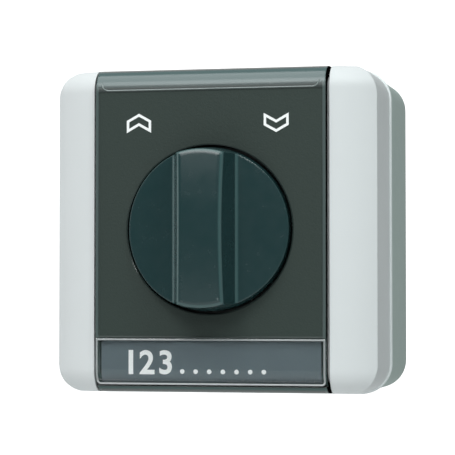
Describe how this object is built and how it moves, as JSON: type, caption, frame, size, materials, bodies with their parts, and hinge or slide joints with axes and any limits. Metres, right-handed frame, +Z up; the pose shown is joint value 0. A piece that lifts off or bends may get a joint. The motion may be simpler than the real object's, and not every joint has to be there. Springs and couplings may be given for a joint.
{
  "type": "roller shutter switch",
  "caption": "Square surface-mounted splash-proof rotary switch with a grip-bar knob that turns left for up and right for down, and a labelled window below.",
  "frame": {"origin": "centre of the box's back face, on the wall", "axes": "+Z up, +X to the viewer's right, +Y into the wall; the face looks along -Y"},
  "size_m": [0.0762, 0.0642, 0.0762],
  "materials": {
    "box_grey": "fine matt moulding",
    "seal_black": "matt",
    "cover_light_grey": "satin moulding",
    "plate_dark_grey": "fine grained field in a smooth border",
    "label_card": "dark card with light figures",
    "clear_window": "clear glossy plastic",
    "plated_steel": "plated",
    "entry_rubber": "matt",
    "zinc_sheet": "zinc plated",
    "insulator": "matt",
    "rotor_plastic": "matt",
    "contact_metal": "bare copper alloy",
    "clamp_metal": "bare",
    "spring_steel": "bare",
    "knob_petrol": "satin"
  },
  "bodies": {
    "housing": {"back_box": "box_grey", "box_seal": "seal_black", "cover_frame": "cover_light_grey", "center_plate": "plate_dark_grey", "label_strip": "label_card", "label_window": "clear_window", "cover_screws": "plated_steel", "strap_screws": "plated_steel", "mechanism_screws": "plated_steel", "terminal_screws": "plated_steel", "entry_grommet": "entry_rubber", "entry_plug": "entry_rubber", "shaft_seal": "seal_black", "support_strap": "zinc_sheet", "switch_base": "insulator", "switch_cap": "insulator", "contact_common": "contact_metal", "contact_up": "contact_metal", "contact_down": "contact_metal", "terminal_clamps": "clamp_metal", "detent_spring": "spring_steel"},
    "knob_set": {"knob": "knob_petrol", "drive_shaft": "spring_steel", "rotor": "rotor_plastic", "contact_bridge": "contact_metal", "retaining_ring": "spring_steel"}
  },
  "joints": [
    {"name": "knob_turn", "type": "hinge", "parent": "housing", "child": "knob_set", "pos_m": [0, 0, 0], "axis": [0, 1, 0], "range_deg": [-45, 45], "deforming": ["detent_spring"]}
  ]
}
